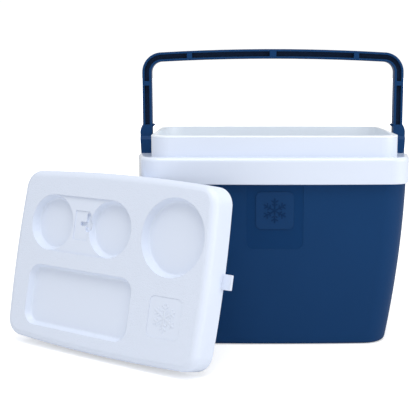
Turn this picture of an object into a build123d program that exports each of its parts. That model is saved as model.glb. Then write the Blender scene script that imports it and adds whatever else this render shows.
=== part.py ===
from build123d import *
import os
from math import cos, radians, sin

# Cooler chest of about 12 litres. Origin: middle of the flat underside. +Z up, +X along the
# chest to its right end, -Y towards its front. All sizes in millimetres.

# Every horizontal outline of the chest and of its lid is a pillow: a rounded rectangle whose
# sides swell outwards. It is given as half length, half depth, the two swells and the corner.

# Outer shell: a tub that narrows downwards along a barrel curve
shell_foot_x = 149.1
shell_foot_y = 85.3
shell_rise = 0.166
shell_barrel = 0.000303
shell_swell_x = 6.0
shell_swell_y = 5.0
shell_corner = 34.0
shell_wall = 2.4
shell_floor = 2.6
shell_top = 218.7
shell_foot_round = 7.0

# Rim collar: band, ledge and neck
collar_x = 169.5
collar_y = 115.0
collar_swell_x = 14.4
collar_swell_y = 5.0
collar_corner = 26.0
collar_wall = 2.7
collar_bottom = 219.1
collar_top = 253.5
flange_thick = 2.4
ledge_thick = 2.6
collar_round = 5.0
collar_foot_round = 1.4
neck_x = 161.0
neck_y = 103.4
neck_swell_x = 0.4
neck_swell_y = 1.5
neck_corner = 24.0
neck_wall = 2.6
neck_top = 280.6

# Inner liner: a plain tub with a flange that lies on the neck
liner_floor = 24.0
liner_floor_x = 131.0
liner_floor_y = 69.0
liner_mouth_x = 153.0
liner_mouth_y = 95.4
liner_swell = 3.0
liner_corner = 26.0
liner_wall = 2.2
liner_floor_round = 12.0

# Front badge and the panel around it, both on the front wall of the shell
panel_width = 74.0
panel_bottom = 133.0
panel_depth = 0.3
badge_side = 49.0
badge_middle = 184.5
badge_thick = 0.4

# Handle: a bail with two ears, on pins through the collar's side recesses
pivot_z = 226.0
pin_radius = 2.5
pin_head_radius = 4.25
pin_head_thick = 1.6
handle_inner = 166.4
handle_outer = 179.0
handle_half_width = 9.0
handle_bend_z = 361.0
handle_top = 392.4
handle_shoulder = 388.0
handle_bar = 13.0
ear_outer = 182.6
ear_foot_outer = 181.0
ear_half_width = 12.5
ear_end_radius = 6.6
ear_cheek_z = 242.0
ear_ridge_z = 269.5
ear_waist_z = 274.0
ear_flare_z = 277.0
ear_top_z = 290.0
ear_gap = 0.9
ear_round = 0.8
ear_pocket_inner = 165.4
ear_pocket_outer = 179.2
ear_pocket_bottom = 250.0
ear_pocket_top = 262.0
ear_front_wall = 2.6
nib_reach = 3.2
nib_z = 289.3
web_half = 2.5
handle_flange = 3.1
tilt_angle = 45.0

# Lid, in its own frame: u along its length, v across it, w out of its top face, which is w = 0
lid_u = 162.2
lid_v = 111.4
lid_swell_u = 4.0
lid_swell_v = 5.2
lid_corner = 24.0
lid_draft = 0.6
lid_height = 34.0
lid_wall = 2.0
lid_skin = 2.4
lid_round = 9.5
tab_width = 18.6
tab_reach = 12.4
tab_thick = 4.5
small_cup_radius = 37.6
small_cup_depth = 11.0
small_cups_u = (-101.5, 1.2)
large_cup_radius = 49.4
large_cup_depth = 11.0
large_cup_u = 105.0
cups_v = 44.4
cup_taper = 4.5
recess_floor_round = 3.0
bridge_depth = 2.0
tray_u = (-131.0, 52.4)
tray_v = (-94.0, -12.2)
tray_corner = 19.0
tray_depth = 8.5
plug_u = 149.6
plug_v = 92.0
plug_bottom = 24.0
plug_wall = 2.0
plug_flange_w = 6.6
emblem_u = 108.5
emblem_v = -52.5
emblem_side = 50.0
emblem_corner = 7.0
emblem_depth = 0.5
step_u = (-62.0, -36.0)
step_v = (26.0, 64.0)
step_depth = 1.0
notch_u = (-42.0, -34.0)
notch_v = (37.5, 62.0)
slot_u = (-52.0, -30.0)
slot_v = (45.0, 50.0)
notch_depth = 6.0

# Where the lid leans: its yaw about Z, its lean from upright, and the middle of its top face
lid_yaw = 35.6
lid_lean = 12.8
lid_x = -217.9
lid_y = -145.8


def lid_plane():
    """Plane of the lid's top face as it stands on the floor, x along the lid, z out of its face."""
    yaw = radians(lid_yaw)
    lean = radians(lid_lean)
    along = Vector(cos(yaw), -sin(yaw), 0)
    outward = Vector(-sin(yaw) * cos(lean), -cos(yaw) * cos(lean), sin(lean))
    height = (lid_v + lid_swell_v) * cos(lean) + lid_height * sin(lean)
    return Plane(origin=(lid_x, lid_y, height), x_dir=along, z_dir=outward)


LID = lid_plane()
face_axis = Axis(LID.origin, LID.z_dir)


def pillow(plane, half_x, half_y, swell_x, swell_y, corner):
    """Rounded rectangle with swelling sides, as a sketch on the given plane."""
    with BuildSketch(plane) as outline:
        with BuildLine():
            ThreePointArc((-half_x, -half_y), (0, -half_y - swell_y), (half_x, -half_y))
            ThreePointArc((half_x, -half_y), (half_x + swell_x, 0), (half_x, half_y))
            ThreePointArc((half_x, half_y), (0, half_y + swell_y), (-half_x, half_y))
            ThreePointArc((-half_x, half_y), (-half_x - swell_x, 0), (-half_x, -half_y))
        make_face()
        fillet(outline.vertices(), corner)
    return outline.sketch


def shell_section(height, inset):
    """Outline of the outer shell at a height, moved in by the inset."""
    widening = shell_rise * height - shell_barrel * height**2 - inset
    return pillow(
        Plane.XY.offset(height),
        shell_foot_x + widening,
        shell_foot_y + widening,
        shell_swell_x,
        shell_swell_y,
        shell_corner - inset,
    )


def shell_sections(bottom, top, inset):
    """Four outlines of the shell from bottom to top, for a loft."""
    step = (top - bottom) / 3
    return [shell_section(bottom + step * number, inset) for number in range(4)]


def collar_section(height, inset):
    """Outline of the collar's band at a height, moved in by the inset."""
    return pillow(
        Plane.XY.offset(height),
        collar_x - inset,
        collar_y - inset,
        collar_swell_x,
        collar_swell_y,
        collar_corner - inset,
    )


def neck_section(height, inset):
    """Outline of the neck at a height, moved in by the inset."""
    return pillow(
        Plane.XY.offset(height),
        neck_x - inset,
        neck_y - inset,
        neck_swell_x,
        neck_swell_y,
        neck_corner - inset,
    )


def liner_section(height, inset):
    """Outline of the liner's inside at a height, moved in by the inset."""
    share = (height - liner_floor) / (neck_top - liner_floor)
    return pillow(
        Plane.XY.offset(height),
        liner_floor_x + share * (liner_mouth_x - liner_floor_x) - inset,
        liner_floor_y + share * (liner_mouth_y - liner_floor_y) - inset,
        liner_swell,
        liner_swell,
        liner_corner - inset,
    )


def lid_section(depth, inset):
    """Outline of the lid at a depth below its top face, moved in by the inset."""
    slope = lid_draft * (lid_height - depth) / lid_height
    return pillow(
        LID.offset(-depth),
        lid_u - slope - inset,
        lid_v - slope - inset,
        lid_swell_u,
        lid_swell_v,
        lid_corner - slope - inset,
    )


# ---------------------------------------------------------------- outer shell and its badge

with BuildPart() as shell_form:
    loft(shell_sections(0, shell_top, 0))
    fillet(shell_form.edges().group_by(Axis.Z)[0], shell_foot_round)

with BuildPart() as badge_form:
    loft(shell_sections(0, shell_top, -badge_thick))

with BuildPart() as panel_form:
    loft(shell_sections(0, shell_top, panel_depth))

with BuildSketch(Plane.XZ) as panel_outline:
    with Locations((0, (panel_bottom + shell_top + 20) / 2)):
        RectangleRounded(panel_width, shell_top - panel_bottom + 20, 10)

with BuildSketch(Plane.XZ) as badge_outline:
    with Locations((0, badge_middle)):
        RectangleRounded(badge_side, badge_side, 7)


def panel_recess():
    """Shallow sunk panel on the front wall, with a plain land left under the badge."""
    with BuildPart() as recess:
        extrude(panel_outline.sketch, amount=150)
        extrude(badge_outline.sketch, amount=150, mode=Mode.SUBTRACT)
        add(panel_form.part, mode=Mode.SUBTRACT)
    return recess.part


with BuildPart() as outer_shell:
    add(shell_form.part)
    loft(shell_sections(shell_floor, shell_top + 1, shell_wall), mode=Mode.SUBTRACT)
    add(panel_recess(), mode=Mode.SUBTRACT)
outer_shell.part.label = "outer_shell"

with BuildPart() as front_badge:
    extrude(badge_outline.sketch, amount=150)
    add(badge_form.part, mode=Mode.INTERSECT)
    add(shell_form.part, mode=Mode.SUBTRACT)
front_badge.part.label = "front_badge"

# ---------------------------------------------------------------- foam and liner

with BuildPart() as liner_form:
    loft([liner_section(liner_floor - liner_wall, -liner_wall), liner_section(neck_top, -liner_wall)])
    fillet(liner_form.edges().group_by(Axis.Z)[0], liner_floor_round)

with BuildPart() as body_foam:
    loft(shell_sections(shell_floor + 0.2, shell_top - 0.4, shell_wall + 0.2))
    add(liner_form.part, mode=Mode.SUBTRACT)
body_foam.part.label = "body_foam"


def liner_inside():
    """Space inside the liner, with its rounded floor."""
    with BuildPart() as inside:
        loft([liner_section(liner_floor, 0), liner_section(neck_top, 0)])
        extrude(liner_section(neck_top, 0), amount=2)
        fillet(inside.edges().group_by(Axis.Z)[0], liner_floor_round - liner_wall)
    return inside.part


with BuildPart() as inner_liner:
    add(liner_form.part)
    extrude(neck_section(neck_top - liner_wall, 0), amount=liner_wall)
    fillet(inner_liner.edges().group_by(Axis.Z)[-1], 0.9)
    add(liner_inside(), mode=Mode.SUBTRACT)
inner_liner.part.label = "inner_liner"

# ---------------------------------------------------------------- rim collar


def recess_outline(grow):
    """Side recess of the handle's ear, seen along X: a fan that lets the ear tilt to front and back."""
    half = ear_half_width + ear_gap + grow
    tilt = radians(tilt_angle)
    low = collar_bottom - 2
    high = collar_top + 12
    side_foot = pivot_z - half * (1 - cos(tilt)) / sin(tilt)
    side_head = collar_top + 2
    spread = half / cos(tilt) + (side_head - pivot_z) * sin(tilt) / cos(tilt)
    with BuildSketch(Plane.YZ) as outline:
        with BuildLine():
            Polyline(
                (-half, low),
                (-half, side_foot),
                (-spread, side_head),
                (-spread, high),
                (spread, high),
                (spread, side_head),
                (half, side_foot),
                (half, low),
                close=True,
            )
        make_face()
    return outline.sketch


with BuildPart() as band_form:
    extrude(collar_section(collar_bottom, 0), amount=collar_top - collar_bottom)
    fillet(band_form.edges().group_by(Axis.Z)[-1], collar_round)
    fillet(band_form.edges().group_by(Axis.Z)[0], collar_foot_round)


def recess_walls():
    """Plastic round the two side recesses, inside the band's rounded form."""
    with BuildPart() as walls:
        extrude(recess_outline(flange_thick), amount=collar_x + 40, both=True)
        add(band_form.part, mode=Mode.INTERSECT)
    return walls.part


with BuildPart() as rim_collar:
    add(band_form.part)
    void_height = collar_top - ledge_thick - collar_bottom - flange_thick
    void_floor = collar_section(collar_bottom + flange_thick, collar_wall)
    extrude(void_floor, amount=void_height, mode=Mode.SUBTRACT)
    # walls of the two side recesses, then the recesses themselves
    add(recess_walls())
    extrude(recess_outline(0), amount=collar_x + 40, both=True, mode=Mode.SUBTRACT)
    # the neck stands inside the band from the flange up, and is open inside
    extrude(neck_section(collar_bottom, 0), amount=neck_top - liner_wall - collar_bottom)
    extrude(neck_section(collar_bottom, neck_wall), amount=80, mode=Mode.SUBTRACT)
    # holes for the pins through the neck wall
    with BuildSketch(Plane.YZ):
        with Locations((0, pivot_z)):
            Circle(pin_radius)
    extrude(amount=collar_x + 40, both=True, mode=Mode.SUBTRACT)
rim_collar.part.label = "rim_collar"

# ---------------------------------------------------------------- pins


def pivot_pin(side):
    """Headed pin through one ear and the neck wall."""
    inner_end = neck_x - neck_wall - 1
    with BuildPart() as pin:
        with BuildSketch(Plane.YZ.offset(side * inner_end)):
            with Locations((0, pivot_z)):
                Circle(pin_radius)
        extrude(amount=side * (ear_outer + 0.4 - inner_end))
        with BuildSketch(Plane.YZ.offset(side * (ear_outer + 0.4))):
            with Locations((0, pivot_z)):
                Circle(pin_head_radius)
        extrude(amount=side * pin_head_thick)
        head_rim = pin.edges().filter_by(GeomType.CIRCLE).sort_by(Axis.X)
        fillet(head_rim[-1] if side > 0 else head_rim[0], 0.7)
    return pin.part


# ---------------------------------------------------------------- handle


def handle_outline(inset):
    """Front outline of the bail between two offset curves, with the arms ending at the ears."""
    outer = handle_outer - inset
    inner = handle_inner + inset
    bend = 151.8
    top = handle_top - inset
    shoulder = handle_shoulder - inset
    under = handle_top - handle_bar + inset
    under_shoulder = handle_shoulder - (handle_outer - handle_inner) + inset
    foot = ear_top_z - 16
    half_turn = cos(radians(45))
    rise_out = shoulder - handle_bend_z
    rise_in = under_shoulder - handle_bend_z
    corner_out = (bend + (outer - bend) * half_turn, handle_bend_z + rise_out * half_turn)
    corner_in = (bend + (inner - bend) * half_turn, handle_bend_z + rise_in * half_turn)
    with BuildSketch(Plane.XZ) as outline:
        with BuildLine():
            Polyline((-inner, handle_bend_z), (-inner, foot), (-outer, foot), (-outer, handle_bend_z))
            ThreePointArc((-outer, handle_bend_z), (-corner_out[0], corner_out[1]), (-bend, shoulder))
            ThreePointArc((-bend, shoulder), (0, top), (bend, shoulder))
            ThreePointArc((bend, shoulder), corner_out, (outer, handle_bend_z))
            Polyline((outer, handle_bend_z), (outer, foot), (inner, foot), (inner, handle_bend_z))
            ThreePointArc((inner, handle_bend_z), corner_in, (bend, under_shoulder))
            ThreePointArc((bend, under_shoulder), (0, under), (-bend, under_shoulder))
            ThreePointArc((-bend, under_shoulder), (-corner_in[0], corner_in[1]), (-inner, handle_bend_z))
        make_face()
    return outline.sketch


def ear_side_outline():
    """Side outline of an ear: a round end on the pin, a wide block, then the arm's own width."""
    with BuildSketch(Plane.YZ) as outline:
        with BuildLine():
            Polyline(
                (-ear_end_radius, pivot_z),
                (-ear_half_width, ear_cheek_z),
                (-ear_half_width, ear_ridge_z),
                (-handle_half_width, ear_waist_z),
                (-handle_half_width, ear_top_z),
                (handle_half_width, ear_top_z),
                (handle_half_width, ear_waist_z),
                (ear_half_width, ear_ridge_z),
                (ear_half_width, ear_cheek_z),
                (ear_end_radius, pivot_z),
                close=True,
            )
        make_face()
        with Locations((0, pivot_z)):
            Circle(ear_end_radius)
    return outline.sketch


def ear_front_outline():
    """Front outline of both ears: a flat inner side and an outer side that flares out from the arm."""
    foot = pivot_z - ear_end_radius - 4
    with BuildSketch(Plane.XZ) as outline:
        with BuildLine():
            Polyline(
                (handle_outer, ear_top_z),
                (handle_inner, ear_top_z),
                (handle_inner, foot),
                (ear_foot_outer, foot),
                (ear_foot_outer + 0.6, ear_pocket_bottom),
                (ear_outer, ear_ridge_z),
                (ear_outer, ear_flare_z),
            )
            ThreePointArc(
                (ear_outer, ear_flare_z),
                (ear_outer - 0.7, ear_flare_z + 7.2),
                (handle_outer, ear_top_z),
            )
        make_face()
        mirror(about=Plane.YZ)
    return outline.sketch


def ears():
    """Both ears as plain blocks with softened edges on their wide part."""
    with BuildPart() as blocks:
        extrude(ear_side_outline(), amount=ear_outer + 5, both=True)
        extrude(ear_front_outline(), amount=40, both=True, mode=Mode.INTERSECT)
        wide = blocks.edges().filter_by(lambda edge: abs(edge.center().Y) > ear_half_width - 0.1)
        fillet(wide, ear_round)
    return blocks.part


def tab_pockets():
    """Spaces for the lid's tabs in both ears, open inwards and to the back."""
    front = ear_front_wall - ear_half_width
    back = ear_half_width + 1
    with BuildPart() as spaces:
        with BuildSketch(Plane.XY.offset(ear_pocket_bottom)):
            for side in (-1, 1):
                middle = side * (ear_pocket_inner + ear_pocket_outer) / 2
                with Locations((middle, (front + back) / 2)):
                    Rectangle(ear_pocket_outer - ear_pocket_inner, back - front)
        extrude(amount=ear_pocket_top - ear_pocket_bottom)
    return spaces.part


def rib_zones():
    """Strips across the bail that stay solid between its pockets."""
    with BuildSketch(Plane.XZ) as strips:
        with Locations((-114, handle_top), (114, handle_top)):
            Rectangle(7, 40)
        with Locations((0, handle_top)):
            Rectangle(9, 40)
        with Locations((-172, 346), (172, 346)):
            Rectangle(40, 6)
        with Locations((-172, 270), (172, 270)):
            Rectangle(40, 39)
    return strips.sketch


def channels():
    """Long pockets on the front and the back of the bail, cut up by ribs."""
    with BuildPart() as spaces:
        extrude(handle_outline(handle_flange), amount=handle_half_width + 1, both=True)
        extrude(rib_zones(), amount=30, both=True, mode=Mode.SUBTRACT)
        with BuildSketch(Plane.XZ):
            Rectangle(500, 900)
        extrude(amount=web_half, both=True, mode=Mode.SUBTRACT)
    return spaces.part


with BuildPart() as handle:
    extrude(handle_outline(0), amount=handle_half_width, both=True)
    fillet(handle.edges().filter_by(lambda edge: abs(edge.center().Y) > handle_half_width - 0.1), 1.2)
    add(ears())
    add(channels(), mode=Mode.SUBTRACT)
    add(tab_pockets(), mode=Mode.SUBTRACT)
    # nibs over the lid's edge
    with BuildSketch(Plane.XZ):
        with BuildLine():
            Polyline(
                (handle_inner + 0.5, nib_z - 3.6),
                (handle_inner - nib_reach, nib_z - 0.9),
                (handle_inner - nib_reach, nib_z + 0.7),
                (handle_inner + 0.5, nib_z + 1.6),
                close=True,
            )
        make_face()
        mirror(about=Plane.YZ)
    extrude(amount=5, both=True)
    # holes for the pins
    with BuildSketch(Plane.YZ):
        with Locations((0, pivot_z)):
            Circle(pin_radius + 0.2)
    extrude(amount=ear_outer + 5, both=True, mode=Mode.SUBTRACT)
handle.part.label = "handle"

# ---------------------------------------------------------------- lid


def cup(u, radius, depth, grow):
    """Round recess of the lid with slightly tapering walls, grown by a wall for its underside."""
    with BuildPart() as recess:
        with BuildSketch(LID.offset(1)):
            with Locations((u, cups_v)):
                Circle(radius + grow)
        with BuildSketch(LID.offset(-depth - grow)):
            with Locations((u, cups_v)):
                Circle(radius + grow - cup_taper)
        loft()
        fillet(recess.edges().group_by(face_axis)[0], recess_floor_round + grow)
    return recess.part


def tray(grow):
    """Rectangular recess of the lid, grown by a wall for its underside."""
    width = tray_u[1] - tray_u[0]
    height = tray_v[1] - tray_v[0]
    middle = ((tray_u[0] + tray_u[1]) / 2, (tray_v[0] + tray_v[1]) / 2)
    with BuildPart() as recess:
        with BuildSketch(LID.offset(1)):
            with Locations(middle):
                RectangleRounded(width + 2 * grow, height + 2 * grow, tray_corner + grow)
        with BuildSketch(LID.offset(-tray_depth - grow)):
            with Locations(middle):
                RectangleRounded(width + 2 * grow - 9, height + 2 * grow - 9, tray_corner + grow - 3)
        loft()
        fillet(recess.edges().group_by(face_axis)[0], recess_floor_round + grow)
    return recess.part


def pit(across, up, depth, corner, grow):
    """Straight-sided recess of the lid between two lengths along it and two across it."""
    with BuildPart() as recess:
        with BuildSketch(LID.offset(1)):
            with Locations(((across[0] + across[1]) / 2, (up[0] + up[1]) / 2)):
                RectangleRounded(
                    across[1] - across[0] + 2 * grow, up[1] - up[0] + 2 * grow, corner + grow
                )
        extrude(amount=-depth - grow - 1)
    return recess.part


def recesses(grow):
    """The recesses of the lid's top that its underside follows, grown by a wall."""
    bridge_half = small_cup_radius - 0.4
    return [
        cup(small_cups_u[0], small_cup_radius, small_cup_depth, grow),
        cup(small_cups_u[1], small_cup_radius, small_cup_depth, grow),
        cup(large_cup_u, large_cup_radius, large_cup_depth, grow),
        tray(grow),
        pit(small_cups_u, (cups_v - bridge_half, cups_v + bridge_half), bridge_depth, 0.5, grow),
        pit(step_u, step_v, bridge_depth + step_depth, 1.0, grow),
        pit(notch_u, notch_v, notch_depth, 3.0, grow),
        pit(slot_u, slot_v, notch_depth, 1.2, grow),
    ]


def emblem_square():
    """Faintly sunk square in the corner of the lid's top."""
    side = emblem_side / 2
    across = (emblem_u - side, emblem_u + side)
    up = (emblem_v - side, emblem_v + side)
    return pit(across, up, emblem_depth, emblem_corner, 0)


def lid_hollow():
    """Space under the lid's top, with the undersides of the recesses left standing in it."""
    inner = lid_wall + lid_draft
    with BuildPart() as hollow:
        loft([lid_section(lid_height + 1, inner), lid_section(lid_skin, inner - 0.4)])
        fillet(hollow.edges().group_by(face_axis)[-1], lid_round - 2.6)
        for recess in recesses(lid_skin):
            add(recess, mode=Mode.SUBTRACT)
    return hollow.part


with BuildPart() as lid_cover:
    loft([lid_section(lid_height, 0), lid_section(0, 0)])
    fillet(lid_cover.edges().group_by(face_axis)[-1], lid_round)
    add(lid_hollow(), mode=Mode.SUBTRACT)
    # tabs at the foot of the two short sides
    tab_length = lid_u + lid_swell_u + tab_reach
    with BuildSketch(LID.offset(-lid_height)):
        for side in (-1, 1):
            with Locations((side * (tab_length - tab_reach / 2 - 0.6), 0)):
                RectangleRounded(tab_reach + 1.2, tab_width, 1.1)
    extrude(amount=tab_thick)
    for recess in recesses(0):
        add(recess, mode=Mode.SUBTRACT)
    add(emblem_square(), mode=Mode.SUBTRACT)
lid_cover.part.label = "lid_cover"

with BuildPart() as lid_base:
    extrude(pillow(LID.offset(-plug_bottom), plug_u, plug_v, 3, 3, 24), amount=plug_bottom - plug_flange_w)
    plug_edge = lid_base.edges().group_by(face_axis)[0]
    fillet(plug_edge, 4)
    extrude(pillow(LID.offset(-plug_flange_w), 158.2, 102, 1.5, 2, 23), amount=plug_wall)
    extrude(
        pillow(LID.offset(-plug_bottom + plug_wall), plug_u - plug_wall, plug_v - plug_wall, 3, 3, 22),
        amount=plug_bottom,
        mode=Mode.SUBTRACT,
    )
    for recess in recesses(lid_skin + 0.2):
        add(recess, mode=Mode.SUBTRACT)
lid_base.part.label = "lid_base"

with BuildPart() as lid_foam:
    foam_gap = plug_wall + 0.2
    extrude(
        pillow(LID.offset(-plug_bottom + foam_gap), plug_u - foam_gap, plug_v - foam_gap, 3, 3, 21.8),
        amount=plug_bottom - foam_gap - lid_skin - 0.2,
    )
    for recess in recesses(lid_skin + 0.2):
        add(recess, mode=Mode.SUBTRACT)
lid_foam.part.label = "lid_foam"

# ---------------------------------------------------------------- parts

pieces = [outer_shell.part, front_badge.part, body_foam.part, inner_liner.part, rim_collar.part]
pieces += [handle.part, lid_cover.part, lid_foam.part, lid_base.part]
for side, name in ((-1, "left"), (1, "right")):
    pin = pivot_pin(side)
    pin.label = f"{name}_pivot_pin"
    pieces.append(pin)

os.makedirs("parts", exist_ok=True)
for piece in pieces:
    export_step(piece, f"parts/{piece.label}.step")
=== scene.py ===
from math import cos, pi, radians, sin

import bmesh
import bpy
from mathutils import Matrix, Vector
from mathutils.bvhtree import BVHTree


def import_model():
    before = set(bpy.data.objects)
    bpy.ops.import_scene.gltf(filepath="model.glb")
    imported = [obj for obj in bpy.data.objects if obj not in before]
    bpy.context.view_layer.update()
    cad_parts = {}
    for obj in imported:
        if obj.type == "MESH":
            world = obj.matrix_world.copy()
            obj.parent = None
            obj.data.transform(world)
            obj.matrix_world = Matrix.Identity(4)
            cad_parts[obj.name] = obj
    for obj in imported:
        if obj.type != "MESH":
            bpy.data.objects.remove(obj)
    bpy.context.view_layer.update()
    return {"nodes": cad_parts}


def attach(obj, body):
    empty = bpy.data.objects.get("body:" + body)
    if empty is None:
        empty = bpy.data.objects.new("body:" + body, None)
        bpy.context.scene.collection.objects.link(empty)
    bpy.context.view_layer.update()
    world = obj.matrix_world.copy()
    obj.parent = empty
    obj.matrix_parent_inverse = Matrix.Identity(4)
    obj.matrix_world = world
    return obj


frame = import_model()
nodes = frame["nodes"]
scene = bpy.context.scene

# Lengths are in metres and colours are linear. The camera's pitch and yaw are in degrees, and its
# sensor and lens in millimetres.

RIGHT = Vector((1, 0, 0))
FRONT = Vector((0, -1, 0))
BACK = Vector((0, 1, 0))
UP = Vector((0, 0, 1))

# ------------------------------------------------------------------ the lid's own frame
# The same numbers as the CAD model's lid: u along it, v up it, w out of its top face.
LID_YAW = radians(35.6)
LID_LEAN = radians(12.8)
LID_X = -0.2179
LID_Y = -0.1458
LID_HALF_V = 0.1166
LID_HEIGHT = 0.034
LID_U = Vector((cos(LID_YAW), -sin(LID_YAW), 0))
LID_W = Vector((-sin(LID_YAW) * cos(LID_LEAN), -cos(LID_YAW) * cos(LID_LEAN), sin(LID_LEAN)))
LID_V = LID_W.cross(LID_U)
LID_ORIGIN = Vector((LID_X, LID_Y, LID_HALF_V * cos(LID_LEAN) + LID_HEIGHT * sin(LID_LEAN)))

# ------------------------------------------------------------------ colours and surfaces

BLUE = (0.0066, 0.0420, 0.1330, 1.0)
BLUE_SHADE = (0.0061, 0.0395, 0.1260, 1.0)
BLUE_WORN = (0.030, 0.090, 0.210, 1.0)
BLUE_PANEL = (0.0030, 0.0350, 0.1200, 1.0)
BLUE_MARK = (0.0018, 0.0250, 0.0900, 1.0)
# Painted shade: the dark blue laid on the handle's web, deep in its pockets
BLUE_PAINTED_SHADE = (0.0050, 0.0110, 0.0300, 1.0)
WHITE = (0.708, 0.772, 0.900, 1.0)
WHITE_SHADE = (0.700, 0.764, 0.892, 1.0)
WHITE_WORN = (0.74, 0.80, 0.92, 1.0)
# Painted light: the liner's two whites are a brighter copy of the white, standing in for light on the tub's
# inner walls
LINER_LIT = (0.85, 0.91, 0.98, 1.0)
LINER_SHADE = (0.84, 0.90, 0.97, 1.0)
GREY = (0.34, 0.35, 0.365, 1.0)
GREY_SHADE = (0.31, 0.32, 0.335, 1.0)
GREY_WORN = (0.45, 0.46, 0.48, 1.0)
FOAM = (0.80, 0.74, 0.55, 1)
FOAM_SHADE = (0.66, 0.59, 0.40, 1)

# Every moulded plastic: noise scales are per metre
MOTTLE_SCALE = 9.0
GLOSS_SCALE = 14.0
SCUFF_SCALE = 140.0
NOISE_MIDDLE = (0.3, 0.7)
SCUFF_NOISE = (0.45, 0.7)
SCUFF_MOST = 0.55
GLOSS_BELOW = 0.03
GLOSS_ABOVE = 0.04
EDGE_RADIUS = 0.0008
SOFT_RADIUS = 0.0007
BEVEL_SAMPLES = 4
FLAT_TURN = 0.995
EDGE_TURN = 0.85

# The sunk panel on the shell's front, with the same sizes as in the CAD model
PANEL_HALF = 0.037
PANEL_BOTTOM = 0.133
PANEL_CORNER = 0.010
PANEL_BLUR = 0.0006
PANEL_SMOOTHER = 0.12
FRONT_WALL = (0.08, 0.09)

# The web in the middle of the handle, at the bottom of its long pockets, where painted shade darkens the
# blue
WEB_HALF = 0.0025
WEB_MARGIN = 0.0004
WEB_BLUR = 0.0003
WEB_FACING = (0.6, 0.9)
WEB_SHADE_MOST = 0.75

# The pebbled top face of the lid
PEBBLE_SCALE = 620.0
PEBBLE_HEIGHT = 0.0005
PEBBLE_DEPTH = (-0.0004, -0.0002)
PEBBLE_FACING = (0.6, 0.95)

# Foam beads
BEAD_SCALE = 320.0
BEAD_EDGE = 0.7
BEAD_HEIGHT = 0.0006

# ------------------------------------------------------------------ snowflake marks

ARMS = 6
BRANCHES = ((0.42, 0.24), (0.68, 0.30))
BRANCH_LEAN = pi / 3.2
BRANCH_WIDTH = 0.85
ARM_STEP = 0.01
BRANCH_HEIGHT = 0.84
BRANCH_STEP = 0.02
END_STEPS = 6
MARK_SINK = 0.0001
MARK_SHOULDER = 0.6
MARK_BEVEL = 0.22
RAY_START = 0.05

# A point in front of the middle of the badge
BADGE_MIDDLE = Vector((0, -0.2, 0.1845))
BADGE_MARK_RADIUS = 0.0155
BADGE_MARK_WIDTH = 0.0022
BADGE_MARK_HEIGHT = 0.0003

# The middle of the sunk square in the lid, with the same numbers as in the CAD model
EMBLEM_U = 0.1085
EMBLEM_V = -0.0525
LID_MARK_RADIUS = 0.0170
LID_MARK_WIDTH = 0.0027
LID_MARK_HEIGHT = 0.0005

# ------------------------------------------------------------------ stage, lights, camera

FLOOR_SIZE = 60
FLOOR_DROP = 0.0002
FLOOR_PALE = (0.90, 0.90, 0.90, 1)
FLOOR_PALER = (0.92, 0.92, 0.92, 1)
FLOOR_NOISE_SCALE = 3.0
FLOOR_GLOW = 0.45
FLOOR_NEAR = 0.4
FLOOR_FAR = 2.5
SKY_LIGHT = 0.66
SKY_SHOWN = 1.05
LIGHT_AIM = Vector((0, 0, 0.15))

CAMERA_PLACE = (-0.0431, -1.3644, 0.3691)
CAMERA_PITCH = 8.63
CAMERA_YAW = 0.07
CAMERA_SENSOR = 36
CAMERA_LENS = 84.03
CAMERA_SHIFT_X = -0.072
CAMERA_SHIFT_Y = 0.0121
CAMERA_REACH = 100


# ------------------------------------------------------------------ materials


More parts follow.
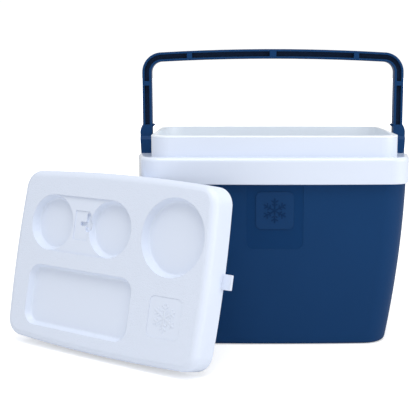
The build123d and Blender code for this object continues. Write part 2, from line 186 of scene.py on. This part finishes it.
class Tree:
    """Short ways to add nodes to one material."""

    def __init__(self, name):
        self.material = bpy.data.materials.new(name)
        self.material.use_nodes = True
        self.tree = self.material.node_tree
        self.shader = self.tree.nodes["Principled BSDF"]
        self.place = self.add("ShaderNodeTexCoord").outputs["Object"]

    def add(self, kind, **settings):
        node = self.tree.nodes.new(kind)
        for key, value in settings.items():
            setattr(node, key, value)
        return node

    def link(self, output, socket):
        self.tree.links.new(output, socket)

    def set(self, name, value):
        """Give one of the shader's sockets a value that is the same all over."""
        self.shader.inputs[name].default_value = value

    def feed(self, name, output):
        """Let nodes drive one of the shader's sockets."""
        self.link(output, self.shader.inputs[name])

    def noise(self, scale, detail, roughness=0.5):
        node = self.add("ShaderNodeTexNoise")
        node.inputs["Scale"].default_value = scale
        node.inputs["Detail"].default_value = detail
        node.inputs["Roughness"].default_value = roughness
        self.link(self.place, node.inputs["Vector"])
        return node.outputs["Fac"]

    def spread(self, value, low, high, to_low=0.0, to_high=1.0, smooth=False):
        """Turn values from low to high into values from to_low to to_high."""
        node = self.add("ShaderNodeMapRange")
        if smooth:
            node.interpolation_type = "SMOOTHSTEP"
        for name, number in zip(("From Min", "From Max", "To Min", "To Max"), (low, high, to_low, to_high)):
            node.inputs[name].default_value = number
        self.link(value, node.inputs["Value"])
        return node.outputs["Result"]

    def math(self, operation, first, second=0.0):
        node = self.add("ShaderNodeMath", operation=operation)
        for socket, value in zip(node.inputs, (first, second)):
            if isinstance(value, (int, float)):
                socket.default_value = value
            else:
                self.link(value, socket)
        return node.outputs[0]

    def mix(self, factor, first, second):
        node = self.add("ShaderNodeMix", data_type="RGBA")
        self.link(factor, node.inputs["Factor"])
        for socket, value in zip((node.inputs["A"], node.inputs["B"]), (first, second)):
            if isinstance(value, tuple):
                socket.default_value = value
            else:
                self.link(value, socket)
        return node.outputs["Result"]

    def along(self, vector, direction):
        """How far a vector reaches in a fixed direction."""
        node = self.add("ShaderNodeVectorMath", operation="DOT_PRODUCT")
        self.link(vector, node.inputs[0])
        node.inputs[1].default_value = direction
        return node.outputs["Value"]

    def normal(self):
        return self.add("ShaderNodeNewGeometry").outputs["Normal"]

    def soft_normal(self, radius):
        """The surface's normal with its edges rounded off."""
        bevel = self.add("ShaderNodeBevel", samples=BEVEL_SAMPLES)
        bevel.inputs["Radius"].default_value = radius
        return bevel.outputs["Normal"]

    def edges(self, radius):
        """1 on sharp edges, 0 on faces, from how far a rounded edge would turn the surface."""
        soft = self.soft_normal(radius)
        true = self.normal()
        dot = self.add("ShaderNodeVectorMath", operation="DOT_PRODUCT")
        self.link(soft, dot.inputs[0])
        self.link(true, dot.inputs[1])
        return self.spread(dot.outputs["Value"], FLAT_TURN, EDGE_TURN)

    def bump(self, height, distance, strength=1.0, normal=None):
        node = self.add("ShaderNodeBump")
        node.inputs["Distance"].default_value = distance
        node.inputs["Strength"].default_value = strength
        self.link(height, node.inputs["Height"])
        if normal is not None:
            self.link(normal, node.inputs["Normal"])
        return node.outputs["Normal"]


def moulded(name, colour, shade, wear, grain_scale, grain_height, rough, specular):
    """Moulded plastic: faint mottling, a pebbled grain, uneven gloss, and edges rubbed lighter."""
    t = Tree(name)
    mottle = t.noise(MOTTLE_SCALE, detail=1.0)
    base = t.mix(t.spread(mottle, *NOISE_MIDDLE), colour, shade)
    scuffs = t.noise(SCUFF_SCALE, detail=3.0, roughness=0.6)
    worn = t.math("MULTIPLY", t.edges(EDGE_RADIUS), t.spread(scuffs, *SCUFF_NOISE, 0.0, SCUFF_MOST))
    t.base = t.mix(worn, base, wear)
    t.feed("Base Color", t.base)
    uneven = t.noise(GLOSS_SCALE, detail=2.0)
    t.rough = t.spread(uneven, *NOISE_MIDDLE, rough - GLOSS_BELOW, rough + GLOSS_ABOVE)
    t.feed("Roughness", t.rough)
    grain = t.noise(grain_scale, detail=2.0, roughness=0.55)
    t.grained = t.bump(grain, grain_height, normal=t.soft_normal(SOFT_RADIUS))
    t.feed("Normal", t.grained)
    t.set("Specular IOR Level", specular)
    return t


def blue(name, colour, shade, **surface):
    return moulded(name, colour, shade, BLUE_WORN, **surface)


def white(name, **surface):
    return moulded(name, WHITE, WHITE_SHADE, WHITE_WORN, grain_height=0.00002, **surface)


def band(t, value, low, high, blur):
    """1 where the value lies between low and high, with soft ends."""
    above = t.spread(value, low - blur, low + blur)
    below = t.spread(value, high - blur, high + blur, 1.0, 0.0)
    return t.math("MULTIPLY", above, below)


def shell_material():
    """Blue shell, with the sunk panel on its front smoother and a little deeper in colour."""
    t = blue(
        "shell_blue", BLUE, BLUE_SHADE,
        grain_scale=700.0, grain_height=0.00007, rough=0.46, specular=0.07,
    )
    beside = t.math("ABSOLUTE", t.along(t.place, RIGHT))
    beside = t.math("MAXIMUM", t.math("SUBTRACT", beside, PANEL_HALF - PANEL_CORNER))
    below = t.math("SUBTRACT", PANEL_BOTTOM + PANEL_CORNER, t.along(t.place, UP))
    below = t.math("MAXIMUM", below)
    square = t.math("ADD", t.math("MULTIPLY", beside, beside), t.math("MULTIPLY", below, below))
    reach = t.math("SQRT", square)
    inside = t.spread(reach, PANEL_CORNER - PANEL_BLUR, PANEL_CORNER + PANEL_BLUR, 1.0, 0.0)
    front = t.spread(t.along(t.place, FRONT), *FRONT_WALL)
    panel = t.math("MULTIPLY", inside, front)
    t.feed("Base Color", t.mix(panel, t.base, BLUE_PANEL))
    t.feed("Roughness", t.math("SUBTRACT", t.rough, t.math("MULTIPLY", panel, PANEL_SMOOTHER)))
    return t.material


def badge_material(name, colour, shade):
    """Smoother blue of the badge, and of the raised mark on it."""
    t = blue(name, colour, shade, grain_scale=900.0, grain_height=0.00003, rough=0.36, specular=0.08)
    return t.material


def handle_material():
    """Blue of the handle, with painted shade darkening the web at the bottom of its long pockets."""
    t = blue(
        "handle_blue", BLUE, BLUE_SHADE,
        grain_scale=800.0, grain_height=0.00004, rough=0.40, specular=0.09,
    )
    web = band(t, t.along(t.place, BACK), -WEB_HALF - WEB_MARGIN, WEB_HALF + WEB_MARGIN, WEB_BLUR)
    turned = t.math("ABSOLUTE", t.along(t.normal(), BACK))
    # Painted shade: the web's faces darken towards a deep blue, as the pockets' shade would
    pocket_shade = t.math("MULTIPLY", web, t.spread(turned, *WEB_FACING, 0.0, WEB_SHADE_MOST))
    t.feed("Base Color", t.mix(pocket_shade, t.base, BLUE_PAINTED_SHADE))
    return t.material


def lid_cover_material():
    """Cool white plastic whose top face is pebbled, with smooth recesses."""
    t = white("lid_cover_white", grain_scale=900.0, rough=0.42, specular=0.4)
    normal = t.normal()
    depth = t.math("SUBTRACT", t.along(t.place, LID_W), LID_ORIGIN.dot(LID_W))
    on_top = t.spread(depth, *PEBBLE_DEPTH)
    facing = t.spread(t.along(normal, LID_W), *PEBBLE_FACING)
    pebble = t.noise(PEBBLE_SCALE, detail=2.0, roughness=0.6)
    pebble = t.math("MULTIPLY", pebble, t.math("MULTIPLY", on_top, facing))
    t.feed("Normal", t.bump(pebble, PEBBLE_HEIGHT, normal=t.grained))
    return t.material


def white_material(name, grain_scale, rough):
    """Cool white plastic without a pebbled face."""
    return white(name, grain_scale=grain_scale, rough=rough, specular=0.5).material


def liner_material():
    """Paler white of the tub and of the lid's underside: painted light, a brighter copy of the white that
    stands in for light on the tub's inner walls.
    """
    t = moulded(
        "liner_lit_white", LINER_LIT, LINER_SHADE, WHITE_WORN,
        grain_scale=500.0, grain_height=0.00002, rough=0.32, specular=0.5,
    )
    return t.material


def pin_material():
    """Neutral grey of the pins."""
    t = moulded(
        "pin_grey", GREY, GREY_SHADE, GREY_WORN,
        grain_scale=800.0, grain_height=0.00004, rough=0.40, specular=0.4,
    )
    return t.material


def foam_material():
    """Beads of insulation foam, seen only if the walls are taken off."""
    t = Tree("foam_cream")
    beads = t.add("ShaderNodeTexVoronoi")
    beads.inputs["Scale"].default_value = BEAD_SCALE
    t.link(t.place, beads.inputs["Vector"])
    gap = beads.outputs["Distance"]
    t.feed("Base Color", t.mix(t.spread(gap, 0.0, BEAD_EDGE), FOAM, FOAM_SHADE))
    t.set("Roughness", 0.85)
    t.feed("Normal", t.bump(gap, BEAD_HEIGHT, strength=0.8))
    return t.material


def give(material, *names):
    """Set the only material of some CAD nodes."""
    for name in names:
        mesh = nodes[name].data
        mesh.materials.clear()
        mesh.materials.append(material)


give(shell_material(), "outer_shell")
give(badge_material("badge_blue", BLUE, BLUE_SHADE), "front_badge")
give(white_material("collar_white", grain_scale=800.0, rough=0.08), "rim_collar")
give(liner_material(), "inner_liner", "lid_base")
give(lid_cover_material(), "lid_cover")
give(handle_material(), "handle")
give(pin_material(), "left_pivot_pin", "right_pivot_pin")
give(foam_material(), "body_foam", "lid_foam")


# ------------------------------------------------------------------ raised snowflake marks


def capsule(middle, angle, length, width):
    """Points round a bar with round ends: its outline in two dimensions."""
    along = Vector((cos(angle), sin(angle)))
    aside = Vector((-sin(angle), cos(angle)))
    points = []
    for end in (1, -1):
        tip = middle + along * end * length / 2
        for step in range(END_STEPS + 1):
            turn = pi * step / END_STEPS - pi / 2
            points.append(tip + end * width / 2 * (along * cos(turn) + aside * sin(turn)))
    return points


def snowflake_bars(radius, width):
    """Middle, angle, length, width and share of the full height of each bar of the mark.

    Bars that cross have different heights, so that their tops aren't in one plane.
    """
    bars = []
    for arm in range(ARMS):
        angle = 2 * pi * arm / ARMS + pi / 2
        out = Vector((cos(angle), sin(angle)))
        bars.append((out * radius * 0.5, angle, radius, width, 1.0 - ARM_STEP * arm))
        for place, reach in BRANCHES:
            for side in (-1, 1):
                lean = angle + side * BRANCH_LEAN
                branch = Vector((cos(lean), sin(lean))) * radius * reach
                root = out * radius * place
                share = BRANCH_HEIGHT + BRANCH_STEP * side
                bars.append((root + branch / 2, lean, branch.length, width * BRANCH_WIDTH, share))
    return bars


def relief(name, node, origin, right, up, radius, width, height):
    """A snowflake raised from a node's surface, each bar following that surface."""
    mesh = nodes[node].data
    surface = BVHTree.FromPolygons([v.co for v in mesh.vertices], [p.vertices for p in mesh.polygons])
    outward = right.cross(up).normalized()

    def lay(point, lift):
        start = origin + right * point.x + up * point.y + outward * RAY_START
        hit = surface.ray_cast(start, -outward)[0]
        return hit + outward * lift

    shape = bmesh.new()
    for middle, angle, length, thick, share in snowflake_bars(radius, width):
        top = height * share
        rings = []
        for inset, lift in ((0.0, -MARK_SINK), (0.0, top * MARK_SHOULDER), (thick * MARK_BEVEL, top)):
            outline = capsule(middle, angle, length, thick - 2 * inset)
            rings.append([shape.verts.new(lay(point, lift)) for point in outline])
        count = len(rings[0])
        for low, high in zip(rings, rings[1:]):
            for index in range(count):
                after = (index + 1) % count
                shape.faces.new((low[index], low[after], high[after], high[index]))
        shape.faces.new(rings[-1])
    data = bpy.data.meshes.new(name)
    shape.to_mesh(data)
    shape.free()
    piece = bpy.data.objects.new(name, data)
    scene.collection.objects.link(piece)
    return piece


badge_mark = relief(
    "badge_mark", "front_badge", BADGE_MIDDLE, RIGHT, UP,
    BADGE_MARK_RADIUS, BADGE_MARK_WIDTH, BADGE_MARK_HEIGHT,
)
badge_mark.data.materials.append(badge_material("mark_blue", BLUE_MARK, BLUE_MARK))
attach(badge_mark, "chest")

lid_mark = relief(
    "lid_mark", "lid_cover", LID_ORIGIN + LID_U * EMBLEM_U + LID_V * EMBLEM_V, LID_U, LID_V,
    LID_MARK_RADIUS, LID_MARK_WIDTH, LID_MARK_HEIGHT,
)
lid_mark.data.materials.append(white_material("mark_white", grain_scale=900.0, rough=0.36))
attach(lid_mark, "lid")


# ------------------------------------------------------------------ stage, lights, camera


def floor():
    """Pale floor, wide enough for every view, lit a little from within so that it stays pale."""
    bpy.ops.mesh.primitive_plane_add(size=FLOOR_SIZE, location=(0, 0, -FLOOR_DROP))
    plane = bpy.context.object
    plane.name = "floor"
    t = Tree("floor_white")
    shade = t.spread(t.noise(FLOOR_NOISE_SCALE, detail=2.0), *NOISE_MIDDLE)
    t.feed("Base Color", t.mix(shade, FLOOR_PALE, FLOOR_PALER))
    t.set("Roughness", 0.9)
    t.set("Specular IOR Level", 0.1)
    t.set("Emission Color", (1, 1, 1, 1))
    distance = t.add("ShaderNodeVectorMath", operation="LENGTH")
    t.link(t.place, distance.inputs[0])
    glow = t.spread(distance.outputs["Value"], FLOOR_NEAR, FLOOR_FAR, FLOOR_GLOW, 1.0, smooth=True)
    seen = t.add("ShaderNodeLightPath").outputs["Is Camera Ray"]
    t.feed("Emission Strength", t.math("MULTIPLY", glow, seen))
    plane.data.materials.append(t.material)


def world():
    """White backdrop; what it lights with is dimmer than what shows."""
    sky = bpy.data.worlds.new("studio")
    scene.world = sky
    sky.use_nodes = True
    tree = sky.node_tree
    back = tree.nodes["Background"]
    back.inputs["Color"].default_value = (1, 1, 1, 1)
    rays = tree.nodes.new("ShaderNodeLightPath")
    amount = tree.nodes.new("ShaderNodeMapRange")
    amount.inputs["To Min"].default_value = SKY_LIGHT
    amount.inputs["To Max"].default_value = SKY_SHOWN
    tree.links.new(rays.outputs["Is Camera Ray"], amount.inputs["Value"])
    tree.links.new(amount.outputs["Result"], back.inputs["Strength"])


def softbox(name, place, size, power):
    """Rectangular lamp that points at the chest."""
    data = bpy.data.lights.new(name, "AREA")
    data.shape = "RECTANGLE"
    data.size, data.size_y = size
    data.energy = power
    lamp = bpy.data.objects.new(name, data)
    scene.collection.objects.link(lamp)
    lamp.location = place
    lamp.rotation_euler = (LIGHT_AIM - Vector(place)).to_track_quat("-Z", "Y").to_euler()


def camera():
    """Camera in front of the chest, looking slightly down."""
    data = bpy.data.cameras.new("camera")
    data.sensor_width = CAMERA_SENSOR
    data.lens = CAMERA_LENS
    data.shift_x = CAMERA_SHIFT_X
    data.shift_y = CAMERA_SHIFT_Y
    data.clip_end = CAMERA_REACH
    eye = bpy.data.objects.new("camera", data)
    scene.collection.objects.link(eye)
    eye.location = CAMERA_PLACE
    eye.rotation_euler = (radians(90 - CAMERA_PITCH), 0, radians(CAMERA_YAW))
    scene.camera = eye


floor()
world()
softbox("key", place=(0.1, -1.0, 2.3), size=(1.8, 1.4), power=30)
softbox("fill", place=(2.0, -0.9, 0.7), size=(1.4, 1.2), power=12)
camera()
scene.view_settings.view_transform = "Standard"
